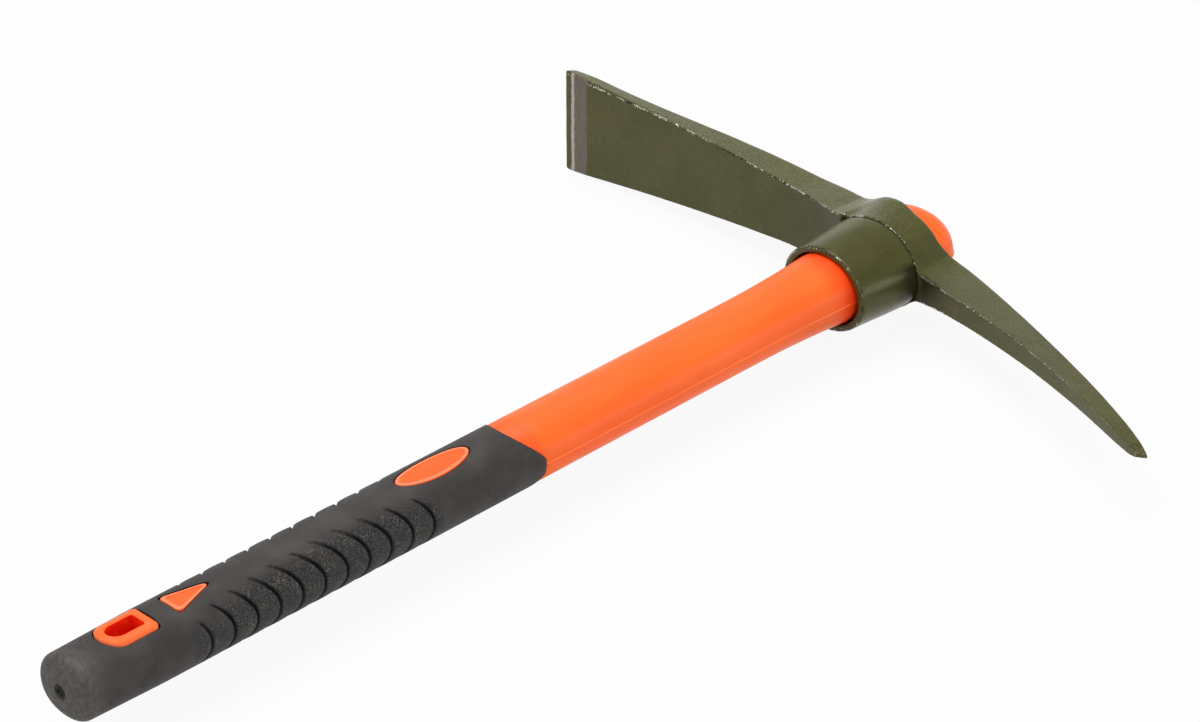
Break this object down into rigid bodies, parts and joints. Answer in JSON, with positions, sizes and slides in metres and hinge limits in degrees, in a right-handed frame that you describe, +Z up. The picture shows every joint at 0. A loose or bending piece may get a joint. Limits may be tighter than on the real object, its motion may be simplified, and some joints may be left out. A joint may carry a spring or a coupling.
{
  "type": "hand mattock",
  "caption": "Short digging tool with a forged head, an adze blade on one side and a curved pick on the other, on a straight oval handle with a rubber grip and a hang hole.",
  "frame": {"origin": "under the middle of the tool's box, as it lies on its side with the blade's edge upright", "axes": "+X along the head from the blade to the pick, +Y along the handle from the butt to the head, +Z up, across the blade's edge"},
  "size_m": [0.29, 0.38, 0.04],
  "materials": {
    "head_paint": "semi-gloss olive paint over forged steel, bare at the ground bevel and along the flash",
    "fibreglass": "matt pale resin",
    "orange_plastic": "satin moulded plastic",
    "grip_rubber": "matt moulded rubber with fine grain"
  },
  "bodies": {
    "root": {"head": "head_paint", "handle_core": "fibreglass", "handle_jacket": "orange_plastic", "grip": "grip_rubber"}
  },
  "joints": []
}
